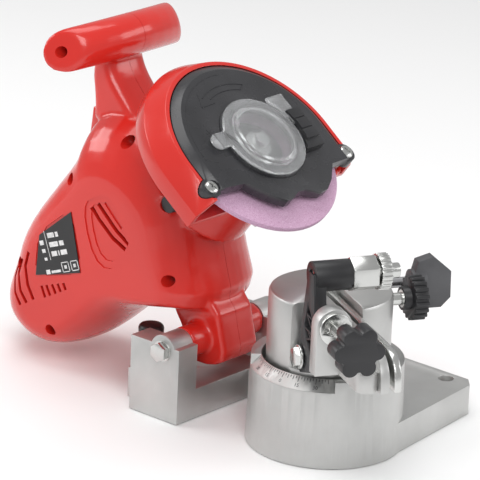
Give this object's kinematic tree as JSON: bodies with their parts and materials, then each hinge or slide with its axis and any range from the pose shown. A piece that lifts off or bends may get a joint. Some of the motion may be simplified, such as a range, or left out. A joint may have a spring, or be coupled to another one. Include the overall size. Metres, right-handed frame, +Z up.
{
  "type": "saw chain sharpener",
  "caption": "Bench saw-chain sharpener: motor head with a thin abrasive wheel, hinged over a swivelling chain vise on a cast base.",
  "frame": {"origin": "vise swivel axis on the bottom of the base", "axes": "+X along the head pivot to the right, -Y to the front, +Z up"},
  "size_m": [0.1787, 0.3209, 0.2123],
  "materials": {
    "cast_aluminium": "satin cast",
    "machined_aluminium": "machined",
    "zinc_steel": "zinc plated",
    "red_plastic": "glossy",
    "black_plastic": "satin",
    "grey_plastic": "satin",
    "clear_plastic": "clear",
    "pink_abrasive": "abrasive grit",
    "steel": "ground",
    "copper": "wound wire",
    "label": "printed film"
  },
  "bodies": {
    "base": {"base_casting": "cast_aluminium", "swivel_washer": "zinc_steel", "pivot_bolt": "zinc_steel", "pivot_nut": "zinc_steel", "pivot_washers": "zinc_steel"},
    "rest_stop": {"rest_knob": "black_plastic", "rest_screw": "zinc_steel"},
    "vise": {"vise_drum": "machined_aluminium", "swivel_post": "zinc_steel", "post_washer": "zinc_steel", "near_jaw": "machined_aluminium", "screw_nut_disc": "zinc_steel", "arm_pivot_bolt": "zinc_steel"},
    "jaw": {"jaw_plate": "zinc_steel"},
    "clamp": {"clamp_screw": "zinc_steel", "clamp_knob": "black_plastic"},
    "wing": {"wing_screw": "steel", "wing_knob": "grey_plastic"},
    "feed": {"feed_screw": "zinc_steel", "feed_knob": "black_plastic"},
    "stop": {"stop_arm": "black_plastic", "stop_shaft": "zinc_steel", "stop_sleeve": "zinc_steel"},
    "ring": {"knurled_ring": "zinc_steel"},
    "head": {"wheel_guard": "red_plastic", "wheel_cover": "black_plastic", "cover_screws": "zinc_steel", "guard_screws": "zinc_steel", "insert_holder": "black_plastic", "front_bearing": "steel", "rear_bearing": "steel", "stator_core": "steel", "field_coils": "copper", "carbon_brushes": "black_plastic", "brush_holders": "black_plastic", "housing_left": "red_plastic", "housing_right": "red_plastic", "housing_screws": "zinc_steel", "pivot_bush": "steel", "label_plate": "label", "switch_body": "black_plastic", "cord_inlet": "black_plastic", "return_spring": "steel"},
    "spindle": {"grinding_wheel": "pink_abrasive", "inner_flange": "zinc_steel", "outer_flange": "zinc_steel", "spindle_screw": "zinc_steel", "motor_shaft": "steel", "armature_core": "steel", "commutator": "copper", "cooling_fan": "black_plastic"},
    "window": {"window_cover": "clear_plastic"},
    "insert": {"clear_insert": "clear_plastic"},
    "paddle": {"paddle_switch": "red_plastic"},
    "button": {"lock_button": "black_plastic"}
  },
  "joints": [
    {"name": "head_swing", "type": "hinge", "parent": "base", "child": "head", "pos_m": [0, 0.081, 0.0415], "axis": [1, 0, 0], "range_deg": [0, 20]},
    {"name": "wheel_spin", "type": "hinge", "parent": "head", "child": "spindle", "pos_m": [0, 0.0615, 0.1525], "axis": [0, -0.6018, 0.7986], "continuous": true},
    {"name": "window_turn", "type": "hinge", "parent": "head", "child": "window", "pos_m": [0, 0.05307, 0.16368], "axis": [0, -0.6018, 0.7986], "range_deg": [-20, 0]},
    {"name": "insert_pull", "type": "slide", "parent": "head", "child": "insert", "axis": [0, 0.7986, 0.6018], "range_m": [0, 0.008]},
    {"name": "paddle_press", "type": "slide", "parent": "head", "child": "paddle", "axis": [0, -1, 0], "range_m": [0, 0.0025], "stiffness_N_per_m": 400, "springref_m": -0.002},
    {"name": "button_press", "type": "slide", "parent": "head", "child": "button", "axis": [1, 0, 0], "range_m": [0, 0.002], "stiffness_N_per_m": 400, "springref_m": -0.002},
    {"name": "vise_swivel", "type": "hinge", "parent": "base", "child": "vise", "pos_m": [0, 0, 0.05], "axis": [0, 0, 1], "range_deg": [-5, 65]},
    {"name": "clamp_turn", "type": "hinge", "parent": "vise", "child": "clamp", "pos_m": [0.03364, -0.02173, 0.0805], "axis": [0.866, -0.5, 0], "range_deg": [-360, 360]},
    {"name": "jaw_close", "type": "slide", "parent": "vise", "child": "jaw", "axis": [-0.866, 0.5, 0], "range_m": [-0.00126, 0.00126]},
    {"name": "wing_turn", "type": "hinge", "parent": "vise", "child": "wing", "pos_m": [0.05205, -0.00984, 0.0825], "axis": [0.866, -0.5, 0], "range_deg": [-90, 90]},
    {"name": "feed_turn", "type": "hinge", "parent": "vise", "child": "feed", "pos_m": [-0.05992, -0.05778, 0.092], "axis": [0.5, 0.866, 0], "continuous": true},
    {"name": "arm_swing", "type": "hinge", "parent": "vise", "child": "stop", "pos_m": [-0.03342, -0.01188, 0.0615], "axis": [0.866, -0.5, 0], "range_deg": [-12, 0]},
    {"name": "ring_turn", "type": "hinge", "parent": "stop", "child": "ring", "pos_m": [-0.00401, -0.03694, 0.11], "axis": [0.866, -0.5, 0], "continuous": true},
    {"name": "rest_turn", "type": "hinge", "parent": "base", "child": "rest_stop", "pos_m": [-0.0236, 0.11, 0.03], "axis": [0, 0, 1], "continuous": true}
  ],
  "couplings": [
    {"joint": "jaw_close", "follows": "clamp_turn", "m_per_rad": 0.00019894}
  ]
}
